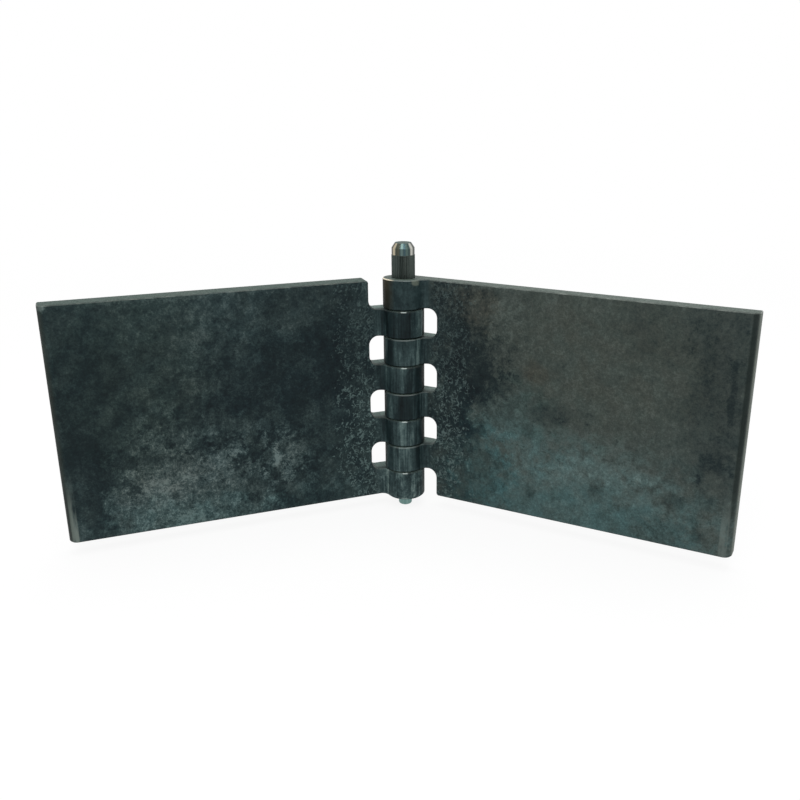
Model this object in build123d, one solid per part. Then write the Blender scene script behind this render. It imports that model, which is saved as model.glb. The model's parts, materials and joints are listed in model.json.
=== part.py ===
from build123d import *
import math
import os

# Blank weld-on butt hinge in drawn steel: two like leaves on one pin. Millimetres, +Z up along the pin.
# The origin is the middle of the right leaf's weld face, +X runs along that leaf away from the pin,
# and +Y is the weld face's outward normal.

# Driving dimensions of the leaf
leaf_height = 100.0
leaf_reach = 147.0
plate_thickness = 8.0
closed_gap = 2.0
crease_radius = 3.0
free_edge_radius = 3.5
corner_radius = 1.2
arris_chamfer = 0.4
sawn_skew = 3.0

# Driving dimensions of the knuckles and the windows between them
knuckle_count = 8
knuckle_gap = 0.5
window_margin = 6.6
window_radius = 4.0

# Driving dimensions of the pin
pin_diameter = 9.9
pin_clearance = 0.05
pin_head_rise = 15.6
head_plain_length = 5.1
head_chamfer_length = 2.1
head_chamfer_inset = 1.4
knurl_teeth = 36
knurl_depth = 0.35
knurl_bite = 0.05
knurl_seat = 8.0
nose_drop = 6.4
nose_length = 4.0
nose_diameter = 6.2
nose_edge_radius = 1.0

# Opening between the two front faces at rest
rest_opening = 131.4

# Sizes that follow from the driving dimensions
barrel_radius = plate_thickness + closed_gap / 2
front_face = closed_gap / 2
back_face = barrel_radius
window_end = barrel_radius + window_margin
knuckle_pitch = leaf_height / knuckle_count
pin_radius = pin_diameter / 2
bore_radius = pin_radius + pin_clearance
knurl_crest = bore_radius + knurl_bite
knurl_start = leaf_height - knurl_seat
knurl_length = knurl_seat + pin_head_rise - head_plain_length
weld_face_middle = (window_end + leaf_reach) / 2
skew_rise = 2 * barrel_radius * math.tan(math.radians(sawn_skew))


def leaf_section():
    """Section across the pin: barrel and plate in one, hollow at the crease and rounded on the free front edge."""
    plate_middle = (front_face + back_face) / 2
    plate = Pos(leaf_reach / 2, plate_middle) * Rectangle(leaf_reach, plate_thickness)
    section = Circle(barrel_radius) + plate
    crease_x = math.sqrt(barrel_radius**2 - front_face**2)
    crease = section.vertices().sort_by_distance((crease_x, front_face, 0))[0]
    section = fillet(crease, crease_radius)
    free_edge = section.vertices().sort_by_distance((leaf_reach, front_face, 0))[0]
    return fillet(free_edge, free_edge_radius)


def window(number):
    """Cutter that clears the other leaf's knuckle; knuckles are numbered from the top, and the last window is open."""
    top = leaf_height - number * knuckle_pitch + knuckle_gap / 2
    bottom = leaf_height - (number + 1) * knuckle_pitch - knuckle_gap / 2
    if number == knuckle_count - 1:
        bottom -= 2 * window_radius
    near_end = -barrel_radius - 2 * window_radius
    outline = RectangleRounded(window_end - near_end, top - bottom, window_radius)
    plane = Plane.XZ.offset(-2 * barrel_radius)
    middle = Pos((near_end + window_end) / 2, (top + bottom) / 2)
    return extrude(plane * middle * outline, 4 * barrel_radius)


def is_arris(edge):
    """True for the sharp edges; the seams where a rounding runs into a flat are left alone."""
    direction = edge.tangent_at(0.5)
    middle = edge.center()
    on_free_edge = middle.X > leaf_reach - arris_chamfer
    if edge.geom_type == GeomType.LINE and abs(direction.Y) > 0.99:
        return on_free_edge
    if edge.geom_type == GeomType.LINE and abs(direction.Z) > 0.99:
        on_window_end = abs(middle.X - window_end) < arris_chamfer
        return on_window_end or (on_free_edge and middle.Y > back_face - arris_chamfer)
    return True


def sawn_top(body):
    """Saws the top end off a little out of square, so that it is highest at the front of the barrel."""
    skew = math.radians(sawn_skew)
    saw = Plane(origin=(0, back_face, leaf_height), x_dir=(1, 0, 0), z_dir=(0, math.sin(skew), math.cos(skew)))
    return split(body, bisect_by=saw, keep=Keep.BOTTOM)


def leaf():
    """One leaf about the pin axis, standing on Z = 0, with its plate along +X and its top knuckle kept."""
    body = sawn_top(extrude(leaf_section(), leaf_height + skew_rise))
    for number in range(1, knuckle_count, 2):
        body -= window(number)
    corners = [
        edge
        for edge in body.edges().filter_by(Axis.Y)
        if abs(edge.center().X - window_end) < arris_chamfer
        and min(edge.center().Z, leaf_height - edge.center().Z) < arris_chamfer
    ]
    body = fillet(corners, corner_radius)
    body = chamfer([edge for edge in body.edges() if is_arris(edge)], arris_chamfer)
    return body - Cylinder(bore_radius, 4 * leaf_height)


def knurl():
    """Straight knurl: a ring of V teeth that bites into the top knuckle's bore and shows above the barrel."""
    root = knurl_crest - knurl_depth
    step = 2 * math.pi / knurl_teeth
    points = []
    for tooth in range(knurl_teeth):
        points.append((knurl_crest * math.cos(tooth * step), knurl_crest * math.sin(tooth * step)))
        points.append((root * math.cos((tooth + 0.5) * step), root * math.sin((tooth + 0.5) * step)))
    return Pos(0, 0, knurl_start) * extrude(Polygon(*points, align=None), knurl_length)


def hinge_pin():
    """Turned pin on the pin axis, from the slimmer nose below the barrel to the chamfered end above the knurl."""
    nose_radius = nose_diameter / 2
    shoulder = nose_length - nose_drop
    head_top = leaf_height + pin_head_rise
    profile = Polyline(
        (0, -nose_drop),
        (nose_radius, -nose_drop),
        (nose_radius, shoulder),
        (pin_radius, shoulder + pin_radius - nose_radius),
        (pin_radius, head_top - head_chamfer_length),
        (pin_radius - head_chamfer_inset, head_top),
        (0, head_top),
        close=True,
    )
    outline = make_face(profile)
    tip = outline.vertices().sort_by_distance((nose_radius, -nose_drop, 0))[0]
    outline = fillet(tip, nose_edge_radius)
    turned = revolve(Plane.XZ * outline, Axis.Z)
    neck = Cylinder(2 * pin_radius, knurl_length, align=(Align.CENTER, Align.CENTER, Align.MIN))
    return turned - Pos(0, 0, knurl_start) * neck + knurl()


def to_part_frame(shape):
    """Moves a shape from the pin axis to the part's own frame on the right leaf's weld face."""
    return Pos(-weld_face_middle, -back_face, -leaf_height / 2) * shape


def main():
    one_leaf = leaf()
    turned_over = Pos(0, 0, leaf_height) * Rot(0, 180, 0) * one_leaf
    opened = Rot(0, 0, 180 - rest_opening) * turned_over
    pieces = {"right_leaf": one_leaf, "left_leaf": opened, "hinge_pin": hinge_pin()}
    os.makedirs("parts", exist_ok=True)
    for name, shape in pieces.items():
        export_step(to_part_frame(shape), f"parts/{name}.step")


main()
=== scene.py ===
import json
import math

import bpy
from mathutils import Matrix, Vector

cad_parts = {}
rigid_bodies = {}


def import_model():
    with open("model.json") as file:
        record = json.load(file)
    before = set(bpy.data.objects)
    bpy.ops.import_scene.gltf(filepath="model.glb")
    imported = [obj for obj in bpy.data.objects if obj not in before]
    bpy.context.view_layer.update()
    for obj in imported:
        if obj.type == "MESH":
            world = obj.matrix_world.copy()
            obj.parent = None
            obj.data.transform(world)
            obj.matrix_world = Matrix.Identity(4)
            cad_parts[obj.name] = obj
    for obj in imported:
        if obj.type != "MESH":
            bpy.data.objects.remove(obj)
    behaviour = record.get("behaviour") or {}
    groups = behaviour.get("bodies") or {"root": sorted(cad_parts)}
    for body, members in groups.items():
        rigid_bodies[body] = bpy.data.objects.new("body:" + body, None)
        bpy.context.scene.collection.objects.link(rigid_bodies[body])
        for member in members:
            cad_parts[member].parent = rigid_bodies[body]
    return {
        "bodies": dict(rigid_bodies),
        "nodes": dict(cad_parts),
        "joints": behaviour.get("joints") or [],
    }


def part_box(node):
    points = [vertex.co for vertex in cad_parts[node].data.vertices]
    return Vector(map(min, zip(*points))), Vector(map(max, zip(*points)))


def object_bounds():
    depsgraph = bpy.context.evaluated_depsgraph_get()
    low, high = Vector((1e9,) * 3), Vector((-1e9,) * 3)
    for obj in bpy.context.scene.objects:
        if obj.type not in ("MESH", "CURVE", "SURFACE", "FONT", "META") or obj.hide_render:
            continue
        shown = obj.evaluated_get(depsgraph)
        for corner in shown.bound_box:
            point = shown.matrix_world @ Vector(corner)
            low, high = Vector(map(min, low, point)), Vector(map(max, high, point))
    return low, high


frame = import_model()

# Whatever stood in the scene before the frame was loaded isn't part of it
kept = set(frame["nodes"].values()) | set(frame["bodies"].values())
for stray in [item for item in bpy.data.objects if item not in kept]:
    bpy.data.objects.remove(stray)
cad_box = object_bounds()

# A millimetre in metres, and what the frame doesn't tell of the part, in millimetres
MM = 0.001
PLATE = 8.0
PLAIN_HEAD = 5.1
KNUCKLES = 8

# Places read from the frame, whose origin is at mid height of the leaves and halfway between the
# right leaf's windows and its free edge. Materials work in millimetres from the pin axis and the
# leaves' foot.
swing = frame["joints"][0]
leaf_low, leaf_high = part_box("right_leaf")
pin_low, pin_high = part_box("hinge_pin")
pin_foot = Vector((swing["pos_m"][0], swing["pos_m"][1], leaf_low.z))
opening = math.radians(max(swing["range_deg"]))
leaf_height = -2 * leaf_low.z / MM
leaf_reach = (leaf_high.x - pin_foot.x) / MM
barrel_radius = (pin_foot.x - leaf_low.x) / MM
window_end = -2 * pin_foot.x / MM - leaf_reach
plate_front = barrel_radius - PLATE
plate_middle = barrel_radius - PLATE / 2
knuckle_pitch = leaf_height / KNUCKLES
top_knuckle = leaf_height - knuckle_pitch
pin_top = (pin_high.z - pin_foot.z) / MM

# Studio: lengths in metres, lamps as an offset from the part's middle, a side and a power in watts
FLOOR_SIDE = 60.0
FLOOR_GREY = 0.9
FLOOR_WHITE_NEAR = 0.88
FLOOR_NEAR = 0.2
FLOOR_FAR = 0.9
WORLD_STRENGTH = 0.6
LAMPS = {
    "key": ((0.3, -0.9, 1.1), 0.9, 9.0),
    "top": ((0.0, 0.2, 1.3), 1.0, 8.0),
}

# Camera, fitted to the part's corners: millimetres, metres from the pin's foot, and degrees
SENSOR_WIDTH = 36.0
FOCAL_LENGTH = 40.4042
LENS_SHIFT = -0.0361
EYE_FROM_PIN_FOOT = (0.18515, -0.336382, 0.17718)
LOOKS_DOWN = 19.0714
TURNED_LEFT = 27.1838


def linear(value):
    """One screen colour channel, 0 to 255, as linear light."""
    share = value / 255
    return share / 12.92 if share <= 0.04045 else ((share + 0.055) / 1.055) ** 2.4


def colour(red, green, blue):
    return (linear(red), linear(green), linear(blue), 1.0)


# Colours that both leaves share
BARREL_RAMP = [
    (0.0, colour(6, 15, 17)), (0.35, colour(22, 36, 38)), (0.6, colour(46, 62, 63)),
    (0.8, colour(78, 96, 95)), (1.0, colour(116, 132, 128)),
]
MILLED_RAMP = [(0.3, colour(74, 92, 87)), (0.7, colour(114, 133, 127))]
MILLED_FRONT = colour(44, 58, 56)
# Painted shade for the barrel's two sides
BARREL_SIDE_SHADE = colour(22, 25, 21)
# Painted shade for arrises that look down
UNDERSIDE_SHADE = colour(12, 18, 19)
# Painted glint for the knuckles' arrises
GLINT = colour(196, 208, 204)

# Degrees round the pin from a leaf's glint to the barrel's two sides, which take painted shade
BARREL_SIDE_TURNS = (-84, 80)

# Millimetres that the streaks' noise is shifted from one knuckle to the next
KNUCKLE_JUMP = 240.0

# The olive-brown patch on the right leaf's top knuckle with a darker brown below it, and the painted
# highlights beside it, a light spot on its crease and a glint on its top arris: their colours, and the
# ways that their places look, in degrees round the pin from the leaf's own direction
OLIVE = colour(51, 46, 34)
OLIVE_SHADE = colour(28, 29, 23)
CREASE_HIGHLIGHT = colour(116, 123, 110)
# Painted glint for the top knuckle's upper arris
OLIVE_GLINT = colour(224, 215, 192)
OLIVE_WAY = -140
OLIVE_SHADE_WAY = -124
OLIVE_GLINT_WAY = -130

# How each leaf looks. An oval is a strength, its place along the leaf and up from the foot, and its half
# sizes along and up, in millimetres. A tint is a colour, an amount and its ovals. The free edge's line
# and strip each lie between two distances in from it. Glint is the way that the painted glint on the
# knuckle arrises looks, in degrees round the pin from the leaf's own direction, and shine is its
# strength.
# Olive is the strength of the top knuckle's olive patch, the darker brown below it and its painted
# highlights.
LEFT_LOOK = {
    "tone": 0.465, "cloud": 0.70, "flake": 0.07, "mottle": 0.80, "streak": 0.12,
    "drift": colour(252, 246, 243),
    "ramp": [
        (0.0, colour(6, 16, 21)), (0.35, colour(21, 35, 38)), (0.6, colour(39, 54, 55)),
        (0.85, colour(67, 82, 82)), (1.0, colour(94, 109, 108)),
    ],
    "zones": [
        (0.22, 98, 11, 30, 20), (0.07, 100, 30, 20, 12), (0.12, 54, 27, 9, 11), (-0.13, 52, 62, 34, 20),
        (0.03, 40, 8, 14, 12), (-0.14, 134, 24, 9, 26), (0.08, 88, 80, 36, 16), (-0.08, 26, 78, 14, 34),
        (-0.08, 134, 84, 12, 20), (0.14, 110, 3, 42, 9), (0.08, 116, 18, 10, 9), (0.07, 100, 44, 14, 8),
        (-0.08, 142, 50, 8, 26), (0.06, 58, 89, 18, 14), (0.06, 110, 95, 16, 8),
    ],
    "spots": [
        (-0.18, 87, 35, 6, 4.0), (-0.12, 72, 17, 5, 6), (-0.10, 98, 30, 4, 3), (-0.09, 105, 22, 4, 4),
        (-0.09, 118, 12, 4, 4), (0.30, 59, 25, 0.9, 9), (-0.12, 62, 26, 0.9, 8), (0.12, 110, 40, 0.7, 6),
        # On the next line, the oval at 17 along and 94 up is a painted highlight on the top window's end
        (0.14, 98, 100, 44, 2.2), (0.5, 145.8, 99.0, 2.2, 1.4), (0.16, 17, 94, 1.6, 7),
    ],
    "flecks": [(-0.10, 98, 22, 36, 26), (-0.06, 60, 60, 50, 34)],
    "flaky": [
        (0.21, 95, 18, 38, 26), (0.12, 53, 27, 14, 15), (0.07, 60, 60, 60, 36), (0.08, 42, 10, 16, 14),
    ],
    "tints": [
        (colour(230, 254, 255), 0.8, [(1.0, 95, 3, 32, 10), (0.6, 40, 4, 20, 8)]),
        (colour(255, 244, 240), 0.6, [
            (1.0, 40, 92, 20, 10), (0.8, 105, 62, 25, 25), (0.8, 108, 26, 18, 12),
        ]),
        (colour(253, 254, 243), 0.8, [(1.0, 122, 68, 32, 40)]),
    ],
    "worm": 0.68, "worm_end": 30.0, "worm_tone": colour(92, 112, 110),
    "line": 0.15, "line_at": (4.8, 4.0), "line_tone": colour(20, 30, 30),
    "strip": 0.85, "strip_at": (3.6, 1.5), "strip_tone": colour(106, 116, 110),
    "rim": 1.0, "rim_width": 2.8, "rim_tone": colour(32, 37, 28),
    "sawn": [(0.3, colour(44, 60, 54)), (0.7, colour(66, 82, 76))],
    "arris": 0.5, "dull": 0.3, "arris_tone": colour(120, 126, 118),
    "glint": 70.0, "glint_width": 10, "shine": 0.7, "olive": 0.0,
}

RIGHT_LOOK = {
    "tone": 0.60, "cloud": 0.14, "flake": 0.03, "mottle": 0.62, "streak": 0.05,
    "drift": colour(254, 247, 245),
    "ramp": [
        (0.0, colour(8, 17, 21)), (0.3, colour(23, 35, 37)), (0.6, colour(57, 67, 64)),
        (0.85, colour(82, 95, 92)), (1.0, colour(104, 117, 113)),
    ],
    "zones": [
        (-0.24, 18, 82, 11, 24), (-0.16, 32, 67, 11, 16), (-0.17, 24, 48, 14, 16), (-0.09, 38, 54, 9, 10),
        (-0.19, 22, 18, 15, 23), (0.17, 85, 10, 56, 18), (-0.18, 136, 66, 14, 44), (0.07, 54, 37, 13, 9),
        (-0.10, 46, 62, 9, 7), (-0.07, 24, 95, 14, 8), (-0.09, 38, 69, 12, 8), (-0.05, 30, 46, 8, 12),
        (-0.07, 110, 90, 16, 14), (0.09, 78, 32, 38, 9), (-0.11, 43, 18, 8, 8), (-0.08, 36, 6, 12, 8),
        (-0.09, 117, 5, 9, 7), (0.05, 128, 46, 8, 12), (-0.05, 30, 56, 9, 18), (0.06, 34, 20, 16, 22),
    ],
    "spots": [
        (-0.14, 70, 48, 9, 4), (-0.18, 61, 12, 2.8, 3.0), (-0.12, 122, 20, 4.5, 3.5),
        (-0.16, 133, 8, 2.6, 3.5), (-0.10, 136, 40, 5, 5), (-0.12, 140.5, 66, 1.2, 14),
        (-0.14, 59, 39, 3.0, 3.5), (-0.10, 90, 17, 4, 3.5), (0.12, 109, 28, 2.2, 3.5),
        (-0.10, 110, 28, 0.8, 4),
    ],
    "flecks": [(-0.16, 60, 50, 34, 26), (-0.10, 100, 22, 50, 22), (-0.10, 138, 50, 10, 40)],
    "flaky": [(0.11, 32, 60, 22, 46), (0.07, 95, 15, 52, 18), (0.06, 24, 25, 12, 30)],
    "tints": [
        (colour(218, 248, 255), 0.8, [
            (1.0, 85, 6, 60, 28), (0.6, 54, 40, 24, 16), (0.7, 18, 40, 16, 40), (0.4, 76, 4, 52, 14),
            (0.5, 48, 48, 16, 14),
        ]),
        (colour(226, 250, 255), 1.0, [(1.0, 34, 18, 16, 22), (0.4, 84, 6, 40, 10)]),
        (colour(255, 246, 238), 0.9, [(1.0, 90, 74, 55, 32)]),
        (colour(255, 232, 222), 0.8, [(1.0, 34, 90, 9, 11), (0.9, 62, 65, 6, 4)]),
    ],
    "worm": 0.60, "worm_end": 31.0, "worm_tone": colour(92, 110, 108),
    "line": 0.75, "line_at": (1.9, 0.9), "line_tone": colour(17, 27, 25),
    "strip": 0.65, "strip_at": (4.8, 2.2), "strip_tone": colour(92, 102, 98),
    "rim": 0.8, "rim_width": 0.5, "rim_tone": colour(112, 120, 110),
    "sawn": [(0.3, colour(58, 70, 64)), (0.7, colour(88, 99, 93))],
    "arris": 0.55, "dull": 0.30, "arris_tone": colour(132, 139, 133),
    "glint": -58.0, "glint_width": 45, "shine": 0.14, "olive": 0.92,
}

# How the pin looks. Its streaks are painted reflections, light and dark: each is a way round it and a
# half width, in degrees, a strength and a colour.
PIN_BARE = [(0.3, colour(54, 69, 70)), (0.7, colour(82, 96, 94))]
PIN_KNURL = [(0.3, colour(52, 61, 58)), (0.7, colour(88, 96, 92))]
PIN_NOSE = [(0.3, colour(88, 120, 116)), (0.7, colour(124, 152, 148))]
PIN_END = colour(66, 80, 76)
PIN_PAINTED_REFLECTIONS = [
    (-90, 14, 0.7, colour(80, 78, 62)), (-135, 14, 0.8, colour(94, 80, 62)),
    (6, 12, 0.7, colour(90, 85, 77)), (-68, 8, 0.4, colour(118, 142, 138)),
    (-54, 7, 0.6, colour(58, 84, 94)), (-42, 8, 0.3, colour(104, 128, 120)),
    (-113, 12, 1.0, colour(182, 172, 148)), (-15, 11, 1.0, colour(188, 188, 180)),
    (62, 10, 0.6, colour(150, 156, 146)), (150, 12, 0.7, colour(160, 158, 142)),
    (25, 6, 0.5, colour(140, 144, 138)),
]

# Specular level of the scale and of the pin's end, both dull
SPECULAR = 0.12


class Nodes:
    """Builds a node tree with short calls."""

    def __init__(self, tree):
        self.tree = tree

    def put(self, socket, value):
        if isinstance(value, bpy.types.NodeSocket):
            self.tree.links.new(value, socket)
        else:
            socket.default_value = value

    def add(self, kind, **settings):
        node = self.tree.nodes.new(kind)
        for key, value in settings.items():
            setattr(node, key, value)
        return node

    def surface(self, settings):
        """Sets sockets of the material's own shader."""
        shader = self.tree.nodes["Principled BSDF"]
        for socket, value in settings.items():
            self.put(shader.inputs[socket], value)

    def math(self, operation, first, second=0.0, third=0.0):
        node = self.add("ShaderNodeMath", operation=operation)
        for socket, value in zip(node.inputs, (first, second, third)):
            self.put(socket, value)
        return node.outputs[0]

    def vector(self, operation, *values):
        node = self.add("ShaderNodeVectorMath", operation=operation)
        for socket, value in zip(node.inputs, values):
            self.put(socket, value)
        return node.outputs["Value" if operation == "LENGTH" else "Vector"]

    def times(self, first, *others):
        product = first
        for other in others:
            product = self.math("MULTIPLY", product, other)
        return product

    def plus(self, first, second):
        return self.math("ADD", first, second)

    def total(self, start, terms):
        """The start plus each term's value times its weight."""
        summed = start
        for weight, value in terms:
            summed = self.math("MULTIPLY_ADD", value, weight, summed)
        return summed

    def between(self, share, low, high):
        """Low where share is 0 and high where it is 1."""
        return self.plus(self.times(share, high - low), low)

    def step(self, value, low, high):
        """0 below low, 1 above high and smooth between them; low above high turns it round."""
        node = self.add("ShaderNodeMapRange", interpolation_type="SMOOTHSTEP")
        turned = low > high
        numbers = (value, min(low, high), max(low, high), float(turned), float(not turned))
        for socket, number in zip(node.inputs, numbers):
            self.put(socket, number)
        return node.outputs[0]

    def band(self, value, low, high, soft):
        """1 between low and high, fading out over soft on both sides."""
        return self.times(self.step(value, low - soft, low), self.step(value, high + soft, high))

    def mix(self, factor, first, second, blend="MIX"):
        node = self.add("ShaderNodeMix", data_type="RGBA", blend_type=blend)
        self.put(node.inputs["Factor"], factor)
        self.put(node.inputs[6], first)
        self.put(node.inputs[7], second)
        return node.outputs[2]

    def mix_shaders(self, share, first, second):
        node = self.add("ShaderNodeMixShader")
        for socket, value in zip(node.inputs, (share, first, second)):
            self.put(socket, value)
        return node.outputs[0]

    def ramp(self, value, stops):
        node = self.add("ShaderNodeValToRGB")
        elements = node.color_ramp.elements
        while len(elements) < len(stops):
            elements.new(0.5)
        for element, (place, tone) in zip(elements, stops):
            element.position = place
            element.color = tone
        self.put(node.inputs[0], value)
        return node.outputs[0]

    def noise(self, place, scale, detail=2.0, roughness=0.5, distortion=0.0):
        node = self.add("ShaderNodeTexNoise")
        self.put(node.inputs["Vector"], place)
        self.put(node.inputs["Scale"], scale)
        self.put(node.inputs["Detail"], detail)
        self.put(node.inputs["Roughness"], roughness)
        self.put(node.inputs["Distortion"], distortion)
        return node

    def grey(self, *settings):
        """A noise from 0 to 1."""
        return self.noise(*settings).outputs["Fac"]

    def ripple(self, *settings):
        """A noise from -0.5 to 0.5."""
        return self.plus(self.grey(*settings), -0.5)

    def stretched(self, place, along, across, up):
        """The place with each of its directions scaled, and with it any texture that reads it."""
        return self.vector("MULTIPLY", place, (along, across, up))

    def stir(self, place, scale, reach):
        """The place shifted by up to about reach millimetres, so that borders drawn in it wander."""
        shift = self.noise(place, scale, 3.0).outputs["Color"]
        centred = self.vector("SUBTRACT", shift, (0.5, 0.5, 0.5))
        return self.vector("MULTIPLY_ADD", centred, (2 * reach, 2 * reach, 2 * reach), place)

    def parts(self, vector):
        node = self.add("ShaderNodeSeparateXYZ")
        self.put(node.inputs[0], vector)
        return node.outputs

    def turned_place(self, turn):
        """The place in millimetres from the pin's foot: along the leaf, across its plate, and up."""
        node = self.add("ShaderNodeMapping", vector_type="TEXTURE")
        self.put(node.inputs["Vector"], self.add("ShaderNodeTexCoord").outputs["Object"])
        self.put(node.inputs["Location"], pin_foot)
        self.put(node.inputs["Scale"], (MM, MM, MM))
        self.put(node.inputs["Rotation"], (0, 0, turn))
        return node.outputs[0]

    def turned_normal(self, turn):
        """The surface's normal in the same three directions."""
        node = self.add("ShaderNodeMapping", vector_type="NORMAL")
        self.put(node.inputs["Vector"], self.add("ShaderNodeTexCoord").outputs["Normal"])
        self.put(node.inputs["Rotation"], (0, 0, -turn))
        return node.outputs[0]

    def level(self, normal):
        """The way a surface looks round the pin, whatever its slope."""
        return self.parts(self.vector("NORMALIZE", self.stretched(normal, 1, 1, 0)))

    def facing(self, way, degrees, wide, narrow):
        """1 where a surface looks the given way round the pin, fading out between two angles off it."""
        turn = math.radians(degrees)
        towards = self.plus(self.times(way[0], math.cos(turn)), self.times(way[1], math.sin(turn)))
        return self.step(towards, math.cos(math.radians(wide)), math.cos(math.radians(narrow)))

    def bump(self, height, depth):
        node = self.add("ShaderNodeBump")
        self.put(node.inputs["Strength"], 1.0)
        self.put(node.inputs["Distance"], depth)
        self.put(node.inputs["Height"], height)
        return node.outputs[0]


class Leaf(Nodes):
    """A leaf's material in layers: each takes the colour so far and returns it with its own laid on."""

    def __init__(self, tree, turn, look):
        super().__init__(tree)
        self.look = look
        self.place = self.turned_place(turn)
        self.along, across, self.up = self.parts(self.place)
        self.depth = self.math("ABSOLUTE", across)
        normal = self.turned_normal(turn)
        looks_along, _, self.slope = self.parts(normal)
        self.looks_along = self.math("ABSOLUTE", looks_along)
        self.way = self.level(normal)

        # Where the leaf's faces and its barrel are
        self.front = self.step(self.depth, plate_middle + 2, plate_middle)
        self.behind = self.math("SUBTRACT", 1.0, self.front)
        self.barrel = self.step(self.along, barrel_radius + 6, barrel_radius + 1)
        self.knuckles = self.step(self.along, barrel_radius + 1, barrel_radius - 1)

        # Wandering places, broken borders and textures that several layers read
        self.stirred = self.stir(self.place, 0.06, 8.0)
        self.nudged = self.stir(self.place, 0.35, 1.2)
        self.ragged = self.times(self.ripple(self.place, 0.12, 8.0, 0.78), 2.6)
        self.cloud = self.ripple(self.stirred, 0.06, 6.0, 0.6)
        self.mottle = self.ripple(self.place, 0.42, 3.0, 1.0)
        self.arris = self.band(self.slope, 0.5, 0.8, 0.12)
        self.bare = self.rubbed()

    def spot(self, place, along, up, half_along, half_up, soft=0.45):
        """1 inside an upright oval, with a ragged border that fades over the soft share of its size."""
        offset = self.vector("SUBTRACT", place, (along, 0, up))
        shrunk = self.stretched(offset, 1 / half_along, 0, 1 / half_up)
        return self.step(self.plus(self.vector("LENGTH", shrunk), self.ragged), 1 + soft, 1 - soft)

    def ovals(self, place, rows):
        """The sum of the ovals in rows."""
        return self.total(0.0, [(strength, self.spot(place, *oval)) for strength, *oval in rows])

    def zones(self):
        """Lighter and darker places: the look's own on the front face, and chance ones behind."""
        own = self.times(self.ovals(self.stirred, self.look["zones"]), self.front)
        chance = self.times(self.ripple(self.stirred, 0.024, 4.0, 0.6), self.behind, 1.1)
        return self.plus(own, chance)

    def flecks(self):
        """Small dark flecks in the look's own places on the front face."""
        fleck = self.step(self.grey(self.stir(self.place, 0.3, 1.5), 0.17, 6.0, 0.7), 0.57, 0.66)
        return self.times(fleck, self.front, self.ovals(self.stirred, self.look["flecks"]))

    def mill_scale(self):
        """Zones, clouds, mottling, fine streaks, and flakes that are mostly light in light zones."""
        look = self.look
        zones = self.zones()
        spots = self.times(self.ovals(self.nudged, look["spots"]), self.front)
        own_flaky = self.times(self.ovals(self.stirred, look["flaky"]), self.front)
        flaky = self.total(look["flake"], [(1.0, own_flaky), (0.10, self.behind)])
        coast = self.grey(self.stir(self.place, 0.2, 2.0), 0.13, 8.0, 0.74)
        flake = self.plus(self.step(self.plus(coast, self.times(zones, 0.35)), 0.46, 0.53), -0.5)
        streak = self.ripple(self.stretched(self.place, 0.8, 0.8, 0.05), 1.0, 2.0)
        mottle = self.times(self.mottle, self.between(flaky, 1.0, 4.0))
        tone = self.total(look["tone"], [
            (1.0, self.flecks()), (0.8, zones), (1.0, spots), (look["cloud"], self.cloud),
            (1.0, self.times(flake, flaky)), (look["mottle"], mottle), (look["streak"], streak),
        ])
        return self.ramp(tone, look["ramp"])

    def tinted(self, tone):
        """A faint drift of warmth all over, and cold and warm tints in places."""
        drift = self.grey(self.stretched(self.place, 1, 1.7, 1), 0.12, 5.0, 0.65)
        warmed = self.mix(1.0, tone, self.look["drift"], "MULTIPLY")
        tone = self.mix(self.step(drift, 0.38, 0.62), tone, warmed)
        wander = self.between(self.step(self.grey(self.place, 0.09, 5.0, 0.65), 0.35, 0.65), 0.65, 0.95)
        for tint, amount, rows in self.look["tints"]:
            where = self.times(self.ovals(self.stirred, rows), wander, self.times(self.front, amount))
            tone = self.mix(where, tone, tint, "MULTIPLY")
        return tone

    def worms(self, place, size, share):
        """Short curled strokes: contour lines of a noise, broken by another, fewer at a low share."""
        contour = self.math("ABSOLUTE", self.ripple(place, 1 / size, 1.0, 0.5, 0.5))
        chance = self.grey(self.stretched(place, 1.1, 1.1, 0.8), 1 / size, 1.0)
        loss = 0.28
        broken = self.step(self.total(-loss, [(1.0, chance), (loss, share)]), 0.49, 0.58)
        return self.times(self.step(contour, 0.06, 0.015), broken)

    def stroked(self, tone):
        """Light curled strokes beside the barrel, fewer towards their zone's border and higher up."""
        border = self.look["worm_end"]
        along, _, up = self.parts(self.stirred)
        share = self.times(self.step(along, border + 10, border - 8), self.front)
        height = self.between(self.step(up, 0.7 * leaf_height, 0.4 * leaf_height), 0.45, 1.0)
        coarse = self.worms(self.place, 2.0, share)
        fine = self.worms(self.stretched(self.place, 1.0, 2.0, 1.0), 1.6, share)
        stroke = self.times(self.math("MAXIMUM", coarse, fine), self.step(share, 0.0, 0.2), height)
        return self.mix(self.times(stroke, self.look["worm"]), tone, self.look["worm_tone"])

    def from_edge(self, inner, outer, soft):
        """1 between two distances in from the free edge."""
        return self.band(self.along, leaf_reach - inner, leaf_reach - outer, soft)

    def edged(self, tone):
        """The rounded free edge: a dark line that fades low down, a light strip there, and a rim."""
        look = self.look
        rubbed = self.grey(self.stretched(self.place, 0.6, 0.6, 0.09), 1.0, 3.0)
        higher = self.step(self.up, 0.02 * leaf_height, 0.30 * leaf_height)
        line = self.times(self.from_edge(*look["line_at"], 0.7), higher)
        tone = self.mix(self.times(line, self.front, look["line"]), tone, look["line_tone"])
        lower = self.step(self.up, 0.32 * leaf_height, 0.06 * leaf_height)
        patchy = self.times(lower, self.step(rubbed, 0.2, 0.6))
        strip = self.times(self.from_edge(*look["strip_at"], 0.6), patchy)
        tone = self.mix(self.times(strip, self.front, look["strip"]), tone, look["strip_tone"])
        rim = self.step(self.along, leaf_reach - look["rim_width"], leaf_reach - 0.1)
        worn = self.times(rim, self.between(rubbed, 0.3, 0.9), look["rim"])
        return self.mix(worn, tone, look["rim_tone"])

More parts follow.
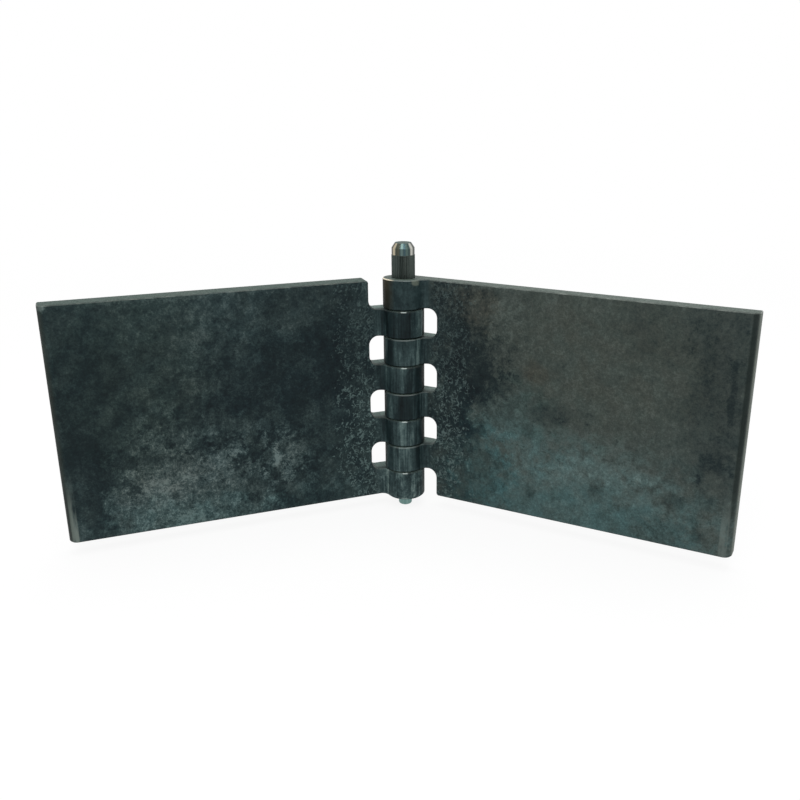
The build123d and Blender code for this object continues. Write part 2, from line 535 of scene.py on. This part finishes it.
    def drawn(self):
        """Soft upright streaks that differ between knuckles, plainer on the top one, and mottling."""
        knuckle = self.math("FLOOR", self.times(self.up, 1 / knuckle_pitch))
        jump = self.add("ShaderNodeCombineXYZ")
        self.put(jump.inputs["Z"], self.times(knuckle, KNUCKLE_JUMP))
        shifted = self.vector("ADD", self.place, jump.outputs[0])
        broad = self.ripple(self.stretched(shifted, 0.22, 0.22, 0.03), 1.0, 1.0)
        fine = self.ripple(self.stretched(shifted, 1.1, 1.1, 0.05), 1.0, 2.0, 0.6)
        mottle = self.ripple(self.stretched(self.place, 1.0, 1.0, 0.7), 0.4, 4.0, 0.85)
        below_top = self.step(self.up, top_knuckle + 1.5, top_knuckle - 1.5)
        highest = self.step(self.up, top_knuckle - 1.5, top_knuckle + 1.5)
        lowest = self.step(self.up, knuckle_pitch + 2.5, knuckle_pitch - 2.5)
        lower_half = self.step(self.up, 0.45 * leaf_height, 0)
        streaks = self.total(0.0, [(1.3, broad), (0.75, fine)])
        streaks = self.times(streaks, self.between(below_top, 0.25, 1.0))
        spotted = self.times(mottle, self.between(lowest, 0.7, 1.3))
        lift = self.total(0.40, [(0.22, lower_half), (0.11, lowest), (0.05, highest)])
        return self.ramp(self.plus(lift, self.plus(streaks, spotted)), BARREL_RAMP)

    def barrelled(self, tone):
        """The barrel, with painted shade at its sides, the olive patch with a darker brown below it, and
        a painted highlight atop its crease.
        """
        look = self.look
        drawn = self.drawn()
        # Painted shade on the barrel's two sides, turned away from the glint
        for side in BARREL_SIDE_TURNS:
            edge = self.times(self.facing(self.way, look["glint"] + side, 24, 6), self.knuckles)
            drawn = self.mix(self.times(edge, 0.55), drawn, BARREL_SIDE_SHADE)
        ragged_up = self.plus(self.parts(self.nudged)[2], self.times(self.ragged, 4.0))
        high = self.step(ragged_up, top_knuckle - 3.5, leaf_height - 5)
        olive = self.times(self.facing(self.way, OLIVE_WAY, 56, 10), high)
        drawn = self.mix(self.times(olive, look["olive"]), drawn, OLIVE)
        lower = self.band(self.up, top_knuckle + 0.5, leaf_height - 5, 3.0)
        shade = self.times(self.facing(self.way, OLIVE_SHADE_WAY, 40, 12), lower)
        drawn = self.mix(self.times(shade, 0.65 * look["olive"]), drawn, OLIVE_SHADE)
        tone = self.mix(self.barrel, tone, drawn)
        # Painted highlight: a light spot where the top knuckle meets the leaf's crease
        crease = self.spot(self.nudged, barrel_radius - 1.2, leaf_height - 0.2, 0.9, 1.5)
        return self.mix(self.times(crease, self.front, 0.5 * look["olive"]), tone, CREASE_HIGHLIGHT)

    def cut(self, tone):
        """Sawn ends, and milled window floors that are darker towards the front."""
        sawn = self.step(self.math("ABSOLUTE", self.slope), 0.86, 0.97)
        saw_marks = self.grey(self.stretched(self.place, 1.6, 0.25, 1.0), 1.0, 3.0, 0.6)
        tone = self.mix(sawn, tone, self.ramp(saw_marks, self.look["sawn"]))
        floors = self.times(sawn, self.band(self.up, 6, leaf_height - 6, 2.0))
        inner = self.step(self.depth, plate_front + 0.4, plate_middle)
        milled = self.mix(inner, MILLED_FRONT, self.ramp(saw_marks, MILLED_RAMP))
        return self.mix(floors, tone, milled)

    def rubbed(self):
        """1 where an arris that looks up is rubbed to bare steel with a painted highlight, and less so on
        a window's end, where the lighter strip is a painted highlight.
        """
        slanting = self.band(self.looks_along, 0.62, 0.80, 0.06)
        # Painted highlight down the arris at a window's end
        upright = self.times(slanting, self.band(self.along, window_end - 1.6, window_end + 2.4, 1.0))
        chipped = self.step(self.grey(self.place, 0.16, 5.0, 0.7), 0.40, 0.70)
        either = self.math("MAXIMUM", self.arris, self.times(upright, 0.3))
        return self.times(either, self.between(chipped, 0.3, 1.0))

    def worn(self, tone):
        """Arrises: painted shade underneath, rubbed to bare steel here and there above with a painted
        highlight, and painted glints on the knuckles and on the top knuckle's arris.
        """
        look = self.look
        # Painted shade on arrises that look down, in the gaps under the knuckles
        under = self.band(self.slope, -0.8, -0.5, 0.12)
        tone = self.mix(self.times(under, 0.6), tone, UNDERSIDE_SHADE)
        # Bare steel on arrises that look up, lightened by a painted highlight as well
        amount = self.math("SUBTRACT", look["arris"], self.times(self.barrel, look["dull"]))
        tone = self.mix(self.times(self.bare, amount), tone, look["arris_tone"])
        # Painted glint on the knuckles' arrises, brightest the way that the leaf's glint gives
        ring = self.times(self.arris, self.knuckles)
        glint = self.times(ring, self.facing(self.way, look["glint"], look["glint_width"], 3))
        tone = self.mix(self.times(glint, look["shine"]), tone, GLINT)
        # Painted glint on the top knuckle's upper arris, on one side of it
        top_end = self.step(self.up, leaf_height - 4, leaf_height - 2)
        top_glint = self.times(self.facing(self.way, OLIVE_GLINT_WAY, 46, 16), top_end)
        return self.mix(self.times(ring, top_glint, look["olive"]), tone, OLIVE_GLINT)


def new_material(name):
    material = bpy.data.materials.new(name)
    material.use_nodes = True
    return material


def leaf_material(name, turn, look):
    """Black mill scale on a drawn leaf, from the plain scale to the rubbed arrises, with painted shade
    and painted highlights on its barrel and arrises.
    """
    material = new_material(name)
    leaf = Leaf(material.node_tree, turn, look)
    tone = leaf.mill_scale()
    for layer in (leaf.tinted, leaf.stroked, leaf.edged, leaf.barrelled, leaf.cut, leaf.worn):
        tone = layer(tone)
    leaf.surface({
        "Base Color": tone,
        "Roughness": leaf.total(0.55, [(-0.25, leaf.bare), (0.4, leaf.mottle), (-0.15, leaf.cloud)]),
        "Specular IOR Level": SPECULAR,
        "Normal": leaf.bump(leaf.mottle, 0.09 * MM),
    })
    return material


def pin_material():
    """Drawn bar: a dark knurl, a bare end with painted reflections in light and dark streaks round it,
    and a pale turned nose.
    """
    material = new_material("pin steel")
    n = Nodes(material.node_tree)
    place = n.turned_place(0.0)
    normal = n.turned_normal(0.0)
    up = n.parts(place)[2]
    way = n.level(normal)
    fine = n.grey(n.stretched(place, 1.6, 1.6, 0.04), 1.0, 3.0, 0.6)
    steel = n.ramp(fine, PIN_BARE)
    # Painted reflections: light and dark streaks at fixed ways round the pin
    for angle, half_width, strength, tone in PIN_PAINTED_REFLECTIONS:
        streak = n.facing(way, angle, half_width, 0.35 * half_width)
        steel = n.mix(n.times(streak, strength), steel, tone)
    end = n.step(n.parts(normal)[2], 0.85, 0.97)
    steel = n.mix(end, steel, PIN_END)
    inside_barrel = leaf_height - 20
    knurled = n.band(up, inside_barrel, pin_top - PLAIN_HEAD, 0.3)
    steel = n.mix(knurled, steel, n.ramp(fine, PIN_KNURL))
    steel = n.mix(n.step(up, 1.0, -0.5), steel, n.ramp(fine, PIN_NOSE))
    n.surface({
        "Base Color": steel,
        "Metallic": n.math("SUBTRACT", 1.0, end),
        "Specular IOR Level": SPECULAR,
        "Roughness": n.total(0.36, [(0.12, knurled), (0.2, n.plus(fine, -0.5)), (0.2, end)]),
        "Normal": n.bump(fine, 0.02 * MM),
    })
    return material


def dress():
    """Gives each CAD node its own material."""
    finishes = {
        "right_leaf": leaf_material("scale right", 0.0, RIGHT_LOOK),
        "left_leaf": leaf_material("scale left", -opening, LEFT_LOOK),
        "hinge_pin": pin_material(),
    }
    for node, material in finishes.items():
        materials = frame["nodes"][node].data.materials
        materials.clear()
        materials.append(material)


def seen_white(n, dim, shown):
    """Mixes two shaders: shown for the camera and reflections, dim for light that reaches the part."""
    light_path = n.add("ShaderNodeLightPath")
    seen = light_path.outputs["Is Camera Ray"]
    for ray in ("Is Glossy Ray", "Is Transmission Ray"):
        seen = n.math("MAXIMUM", seen, light_path.outputs[ray])
    return n.mix_shaders(seen, dim, shown)


def floor_material():
    """Matt to the part; to the camera nearly white, with the part's shadow, and white further off."""
    material = new_material("floor")
    n = Nodes(material.node_tree)
    n.tree.nodes.clear()
    output = n.add("ShaderNodeOutputMaterial")
    matt = n.add("ShaderNodeBsdfDiffuse")
    n.put(matt.inputs["Color"], (FLOOR_GREY, FLOOR_GREY, FLOOR_GREY, 1))
    white = n.add("ShaderNodeEmission")
    n.put(white.inputs["Strength"], 1.0)
    distance = n.vector("LENGTH", n.add("ShaderNodeTexCoord").outputs["Object"])
    share = n.between(n.step(distance, FLOOR_NEAR, FLOOR_FAR), FLOOR_WHITE_NEAR, 1.0)
    pale = n.mix_shaders(share, matt.outputs[0], white.outputs[0])
    n.put(output.inputs["Surface"], seen_white(n, matt.outputs[0], pale))
    return material


def floor():
    """A pale floor under the part that reads as white and keeps a faint shadow."""
    half = FLOOR_SIDE / 2
    mesh = bpy.data.meshes.new("floor")
    corners = [(-half, -half, 0), (half, -half, 0), (half, half, 0), (-half, half, 0)]
    mesh.from_pydata(corners, [], [(0, 1, 2, 3)])
    mesh.materials.append(floor_material())
    ground = bpy.data.objects.new("floor", mesh)
    ground.location = (0, 0, pin_low.z)
    bpy.context.scene.collection.objects.link(ground)


def world():
    """White to the camera and in reflections, and a plain even light on the part."""
    sky = bpy.data.worlds.new("studio")
    bpy.context.scene.world = sky
    sky.use_nodes = True
    n = Nodes(sky.node_tree)
    n.tree.nodes.clear()
    output = n.add("ShaderNodeOutputWorld")
    light = n.add("ShaderNodeBackground")
    white = n.add("ShaderNodeBackground")
    for background, strength in ((light, WORLD_STRENGTH), (white, 1.0)):
        n.put(background.inputs["Color"], (1, 1, 1, 1))
        n.put(background.inputs["Strength"], strength)
    n.put(output.inputs["Surface"], seen_white(n, light.outputs[0], white.outputs[0]))


def softbox(name, place, target, side, power):
    """A square area lamp at a place, turned towards a target."""
    lamp = bpy.data.lights.new(name, "AREA")
    lamp.shape = "SQUARE"
    lamp.size = side
    lamp.energy = power
    holder = bpy.data.objects.new(name, lamp)
    holder.location = place
    holder.rotation_euler = (target - place).to_track_quat("-Z", "Y").to_euler()
    bpy.context.scene.collection.objects.link(holder)


def lamps():
    """Soft lamps round the part, all turned towards its middle."""
    middle = (cad_box[0] + cad_box[1]) / 2
    for name, (offset, side, power) in LAMPS.items():
        softbox(name, middle + Vector(offset), middle, side, power)


def camera():
    """Camera at the photograph's viewing angle."""
    lens = bpy.data.cameras.new("camera")
    lens.sensor_width = SENSOR_WIDTH
    lens.lens = FOCAL_LENGTH
    lens.shift_x = LENS_SHIFT
    lens.clip_start = 0.01
    lens.clip_end = 100.0
    eye = bpy.data.objects.new("camera", lens)
    eye.location = pin_foot + Vector(EYE_FROM_PIN_FOOT)
    eye.rotation_euler = (math.radians(90 - LOOKS_DOWN), 0, math.radians(TURNED_LEFT))
    bpy.context.scene.collection.objects.link(eye)
    bpy.context.scene.camera = eye


dress()
floor()
world()
lamps()
camera()
bpy.context.scene.view_settings.view_transform = "Standard"
